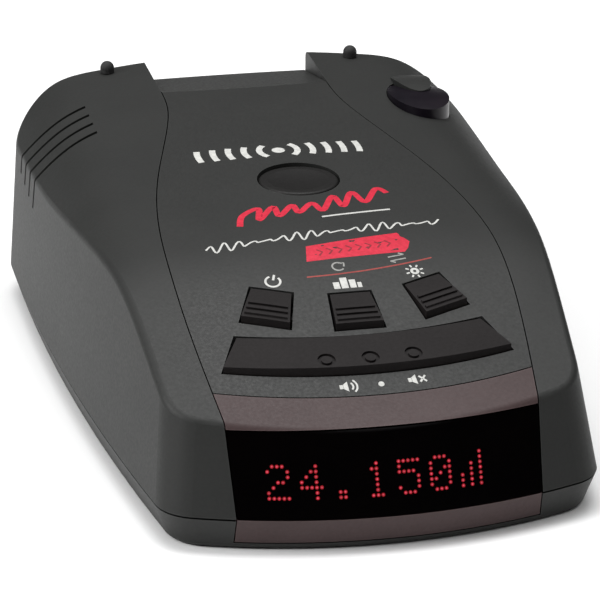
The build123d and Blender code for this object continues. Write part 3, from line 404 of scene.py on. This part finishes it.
def add_disc(bm, point, normal, radius, lift):
    """A low round button of the given radius, its top lift above the surface."""
    turn = normal.to_track_quat("Z", "Y").to_matrix()
    top = []
    low = []
    for k in range(DOT_SIDES):
        angle = 2 * math.pi * k / DOT_SIDES
        rim = turn @ Vector((radius * math.cos(angle), radius * math.sin(angle), 0))
        top.append(bm.verts.new(point + rim + normal * lift))
        low.append(bm.verts.new(point + rim + normal * (lift - DOT_THICK)))
    bm.faces.new(top)
    bm.faces.new(list(reversed(low)))
    for k in range(DOT_SIDES):
        j = (k + 1) % DOT_SIDES
        bm.faces.new((low[k], low[j], top[j], top[k]))


def make_display():
    """Lit dots on the window face: a dim red disc under a small pink core."""
    cores = bmesh.new()
    halos = bmesh.new()
    for cell, key in enumerate(READOUT):
        rows = GLYPHS[key].split()
        for row in range(7):
            for column in range(5):
                if rows[row][column] != "1":
                    continue
                x = FIRST_CELL_X + cell * CELL_PITCH + (column - 2) * DOT_PITCH
                z = ROW_Z + (3 - row) * DOT_PITCH
                point, normal = onto("display_window", (x, IN_FRONT, z), (0, 1, 0))
                add_disc(halos, point, normal, GLOW_R, GLOW_LIFT)
                add_disc(cores, point, normal, CORE_R, CORE_LIFT)
    add_piece("display_dot_glow", halos, lit("dot_glow", (0.55, 0.004, 0.025), 0.42))
    add_piece("display_dots", cores, lit("dot_core", (0.90, 0.13, 0.22), 0.75))


# ---- Printed marks -----------------------------------------------------------------------------
PRINT_LIFT = 0.010 * MM
PRINT_STEP = 0.7 * MM
FAN_Y = 3.0 * MM                       # centre that the three keys fan out from
KEY_FAN = math.radians(19.2)


class Print:
    """Ink laid on the panel: strokes and patches given in plan, in millimetres."""

    def __init__(self, lift=PRINT_LIFT):
        self.bm = bmesh.new()
        self.lift = lift
        self.place(0, 0)

    def place(self, x, y, turn=0.0, size=1.0):
        """Where the following strokes have their own zero."""
        self.at = Vector((x, y)) * MM
        self.turn = Matrix.Rotation(turn, 2)
        self.size = size * MM

    def plan(self, point):
        return self.at + self.turn @ (Vector(point) * self.size)

    def vertex(self, plan):
        point, normal = onto("centre_panel", (plan.x, plan.y, OVERHEAD), (0, 0, -1))
        return self.bm.verts.new(point + normal * self.lift)

    def stroke(self, points, width, closed=False):
        """A line of even width along the points."""
        line = [self.plan(p) for p in points]
        if closed:
            line.append(line[0])
        dense = [line[0]]
        for first, second in zip(line, line[1:]):
            steps = max(1, math.ceil((second - first).length / PRINT_STEP))
            dense += [first.lerp(second, k / steps) for k in range(1, steps + 1)]
        half = width * MM / 2
        rows = []
        for k, point in enumerate(dense):
            before = dense[k - 1] if k else (dense[-2] if closed else point)
            after = dense[k + 1] if k + 1 < len(dense) else (dense[1] if closed else point)
            along = (after - before).normalized()
            side = Vector((-along.y, along.x)) * half
            rows.append((self.vertex(point + side), self.vertex(point - side)))
        for (a, b), (c, d) in zip(rows, rows[1:]):
            self.bm.faces.new((a, b, d, c))

    def patch(self, corners, columns, rows=3):
        """A filled four-sided patch: near left, near right, far right, far left."""
        a, b, c, d = (self.plan(p) for p in corners)
        grid = []
        for j in range(rows + 1):
            left = a.lerp(d, j / rows)
            right = b.lerp(c, j / rows)
            grid.append([self.vertex(left.lerp(right, i / columns)) for i in range(columns + 1)])
        for j in range(rows):
            for i in range(columns):
                self.bm.faces.new((grid[j][i], grid[j][i + 1], grid[j + 1][i + 1], grid[j + 1][i]))

    def arc(self, centre, radius, start, end, width):
        """A round stroke, with its two angles in degrees."""
        steps = max(6, int(abs(end - start) / 12))
        angles = [math.radians(start + (end - start) * k / steps) for k in range(steps + 1)]
        x, y = centre
        self.stroke([(x + radius * math.cos(t), y + radius * math.sin(t)) for t in angles], width)

    def finish(self, name, material):
        add_piece(name, self.bm, material)


def fan_place(ink, index, radius, size=1.0):
    """Put the pen over a key, turned with it."""
    angle = KEY_FAN * index
    ink.place(radius * math.sin(angle), FAN_Y / MM - radius * math.cos(angle), angle, size)


def draw_speaker(ink, muted):
    """Loudspeaker, with sound waves or with a cross."""
    ink.patch([(-1.3, -0.4), (-0.7, -0.4), (-0.7, 0.4), (-1.3, 0.4)], 1, 1)
    ink.patch([(-0.65, -0.45), (0.1, -1.0), (0.1, 1.0), (-0.65, 0.45)], 2, 2)
    if muted:
        ink.stroke([(0.6, -0.6), (1.7, 0.6)], 0.28)
        ink.stroke([(0.6, 0.6), (1.7, -0.6)], 0.28)
    else:
        ink.arc((0.1, 0), 0.85, -50, 50, 0.26)
        ink.arc((0.1, 0), 1.5, -50, 50, 0.26)


def draw_key_icons(ink):
    """Power, town and brightness marks at the keys, volume and mute marks under the bar."""
    fan_place(ink, -1, 31.1)
    ink.arc((0, 0), 1.05, -235, 55, 0.32)
    ink.stroke([(0, 0.25), (0, 1.4)], 0.34)
    fan_place(ink, 0, 31.0)
    for x, width, height in ((-1.5, 0.9, 1.3), (-0.35, 1.0, 2.1), (0.85, 0.9, 1.6), (1.8, 0.6, 1.0)):
        left = x - width / 2
        right = x + width / 2
        ink.patch([(left, -1), (right, -1), (right, height - 1), (left, height - 1)], 1, 2)
    fan_place(ink, 1, 31.2)
    ink.arc((0, 0), 0.45, 0, 360, 0.4)
    for k in range(8):
        ray = Vector((math.cos(math.radians(45 * k)), math.sin(math.radians(45 * k))))
        ink.stroke([0.85 * ray, 1.35 * ray], 0.26)
    ink.place(-4.1, -46.35, size=0.85)
    draw_speaker(ink, False)
    ink.place(0.65, -46.4)
    ink.arc((0, 0), 0.22, 0, 360, 0.4)
    ink.place(5.6, -46.05, 0.07, size=0.85)
    draw_speaker(ink, True)


def draw_small_icons(ink):
    """Replay and swap marks over the thin red line."""
    ink.place(-0.4, -24.5)
    ink.arc((0, 0), 0.85, 40, 320, 0.26)
    ink.stroke([(0.1, 0.75), (0.95, 0.7), (0.8, -0.1)], 0.24)
    ink.place(8.4, -23.4, 0.2)
    for side in (-1, 1):
        ink.stroke([(-1.2 * side, 0.45 * side), (1.2 * side, 0.45 * side)], 0.24)
        ink.stroke([(0.6 * side, 0.95 * side), (1.25 * side, 0.45 * side)], 0.24)


def draw_sweep_mark(ink):
    """Dot with arcs spreading to both sides, as a wave leaving an aerial."""
    ink.place(-0.6, 14.4)
    ink.arc((0, 0), 0.5, 0, 360, 1.0)
    for k in range(5):
        reach = 2.9 + 2.35 * k
        spread = math.degrees(math.asin(min(1.0, 2.1 / reach)))
        ink.arc((0, 0), reach, -spread, spread, 0.95)
        ink.arc((0, 0), reach, 180 - spread, 180 + spread, 0.95)


def draw_white_wave(ink):
    """Fine ripple that rises to the right, and the line under the bold pulse."""
    ink.place(-18.0, -17.4, 0.094)
    points = []
    steps = 170
    for k in range(steps + 1):
        u = 35.0 * k / steps
        swell = 0.55 + 0.45 * math.sin(u * 0.55)
        points.append((u + 0.35 * math.sin(u * 2.9), 1.25 * swell * math.sin(u * 2.9)))
    ink.stroke(points, 0.30)
    ink.place(0, 0)
    ink.stroke([(0.4, -10.7), (10.8, -9.5)], 0.42)


def smoothed(points, steps=8):
    """Points along a smooth curve through the given ones."""
    curve = []
    for k in range(len(points) - 1):
        p0 = Vector(points[max(0, k - 1)])
        p1 = Vector(points[k])
        p2 = Vector(points[k + 1])
        p3 = Vector(points[min(len(points) - 1, k + 2)])
        for i in range(steps):
            t = i / steps
            curve.append(0.5 * (2 * p1 + (p2 - p0) * t + (2 * p0 - 5 * p1 + 4 * p2 - p3) * t**2
                                + (3 * p1 - p0 - 3 * p2 + p3) * t**3))
    return curve


def draw_red_wave(ink):
    """Bold pulse that grows to the right."""
    ink.place(-12.0, -10.6, 0.17)
    points = [(0, -0.9), (1.6, 2.2), (4.6, 3.6), (3.4, 0.0), (6.8, 3.4), (6.6, 0.2), (9.6, 2.9), (9.7, 0.3),
              (12.6, 2.6), (13.2, -0.2), (16.4, 3.9), (16.6, 0.2), (19.6, 4.4), (20.2, 0.6), (23.6, 4.6),
              (24.6, 2.6)]
    ink.stroke(smoothed(points), 0.95)


def draw_red_slab(ink):
    """Leaning red block with a blunt right end."""
    ink.patch([(-4.6, -22.9), (9.9, -22.1), (9.9, -17.1), (-3.9, -19.2)], 14, 4)
    ink.patch([(9.9, -22.1), (10.6, -21.2), (11.2, -19.6), (9.9, -17.1)], 1, 4)


def draw_slab_marks(ink):
    """Dark chevrons along the red slab."""
    for k in range(8):
        ink.place(-2.2 + 1.45 * k, -20.95 + 0.16 * k, 0.09)
        ink.stroke([(-0.35, -0.75), (0.35, 0.0), (-0.35, 0.75)], 0.26)


def draw_rule(ink):
    """Thin red line that curls up to the right."""
    steps = 12
    shares = [k / steps for k in range(steps + 1)]
    ink.stroke([(-5.3 + 18.7 * share, -26.2 + 2.5 * share**2.2) for share in shares], 0.26)


def make_prints():
    """All the ink on the panel."""
    white = print_ink("ink_white", (0.50, 0.50, 0.48), (0.62, 0.62, 0.59))
    grey_ink = print_ink("ink_grey", (0.26, 0.26, 0.25), (0.34, 0.34, 0.32))
    red = print_ink("ink_red", (0.50, 0.012, 0.035), (0.62, 0.02, 0.05))
    dull_red = print_ink("ink_dull_red", (0.26, 0.035, 0.03), (0.33, 0.05, 0.04))
    dark = print_ink("ink_dark", (0.20, 0.012, 0.02), (0.24, 0.015, 0.025))
    jobs = (
        ("print_sweep", white, draw_sweep_mark, PRINT_LIFT),
        ("print_icons", white, draw_key_icons, PRINT_LIFT),
        ("print_ripple", white, draw_white_wave, PRINT_LIFT),
        ("print_small_icons", grey_ink, draw_small_icons, PRINT_LIFT),
        ("print_pulse", red, draw_red_wave, PRINT_LIFT),
        ("print_slab", red, draw_red_slab, PRINT_LIFT),
        ("print_slab_marks", dark, draw_slab_marks, 2 * PRINT_LIFT),
        ("print_rule", dull_red, draw_rule, PRINT_LIFT),
    )
    for name, material, draw, lift in jobs:
        ink = Print(lift)
        draw(ink)
        ink.finish(name, material)


# ---- Painted shade under the speaker slots, and socket contacts --------------------------------
SHADE_SHEET_CELLS = 8
SHADE_SHEET_LEFT = -33.5 * MM
SHADE_SHEET_MARGIN = 1.0 * MM
SHADE_SHEET_RISE = 3.0 * MM                 # above the speaker frame
CONTACTS = 4
CONTACT_PITCH = 1.25 * MM
CONTACT_R = 0.22 * MM
CONTACT_SIDES = 8
CONTACT_PATH = ((-9.5, 2.6), (-4.0, 1.2), (-2.4, 1.0), (-1.6, 1.6))   # mm from the mouth and middle, x and z


def make_speaker_shade_sheet():
    """Dark sheet under the speaker slots: its near-black colour is painted shade, standing in for the shadow
    inside the slots.
    """
    bm = bmesh.new()
    low, high = (Vector(corner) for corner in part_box("speaker_frame"))
    grid = []
    for j in range(SHADE_SHEET_CELLS + 1):
        y = low.y + SHADE_SHEET_MARGIN + (high.y - low.y - 2 * SHADE_SHEET_MARGIN) * j / SHADE_SHEET_CELLS
        xs = [SHADE_SHEET_LEFT + (high.x - SHADE_SHEET_LEFT) * i / SHADE_SHEET_CELLS for i in range(SHADE_SHEET_CELLS + 1)]
        grid.append([bm.verts.new((x, y, high.z + SHADE_SHEET_RISE)) for x in xs])
    for j in range(SHADE_SHEET_CELLS):
        for i in range(SHADE_SHEET_CELLS):
            bm.faces.new((grid[j][i], grid[j][i + 1], grid[j + 1][i + 1], grid[j + 1][i]))
    # near-black sheet colour: painted shade seen through the speaker slots
    slot_shade_material = moulded("slot_shade_cloth", grey(0.008), grey(0.014), rough=(0.8, 0.9))
    add_piece("speaker_shade_sheet", bm, slot_shade_material)


def contact_ring(bm, x, y, z):
    ring = []
    for k in range(CONTACT_SIDES):
        t = 2 * math.pi * k / CONTACT_SIDES
        ring.append(bm.verts.new((x, y + CONTACT_R * math.cos(t), z + CONTACT_R * math.sin(t))))
    return ring


def make_socket_contacts():
    """Sprung gold wires along the floor of the power socket."""
    low, high = (Vector(corner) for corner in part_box("power_jack"))
    middle = (low + high) / 2
    bm = bmesh.new()
    for k in range(CONTACTS):
        y = middle.y + (k - (CONTACTS - 1) / 2) * CONTACT_PITCH
        rings = [contact_ring(bm, high.x + x * MM, y, middle.z + z * MM) for x, z in CONTACT_PATH]
        for first, second in zip(rings, rings[1:]):
            for n in range(CONTACT_SIDES):
                m = (n + 1) % CONTACT_SIDES
                bm.faces.new((first[n], first[m], second[m], second[n]))
        bm.faces.new(rings[0])
        bm.faces.new(list(reversed(rings[-1])))
    gold = metallic("contact_gold", (0.55, 0.36, 0.10), (0.72, 0.48, 0.16), rough=(0.2, 0.3))
    add_piece("socket_contacts", bm, gold)


# ---- The scene -------------------------------------------------------------------------------
make_camera()
make_light()
make_floor()
make_materials()
make_display()
make_prints()
make_speaker_shade_sheet()
make_socket_contacts()
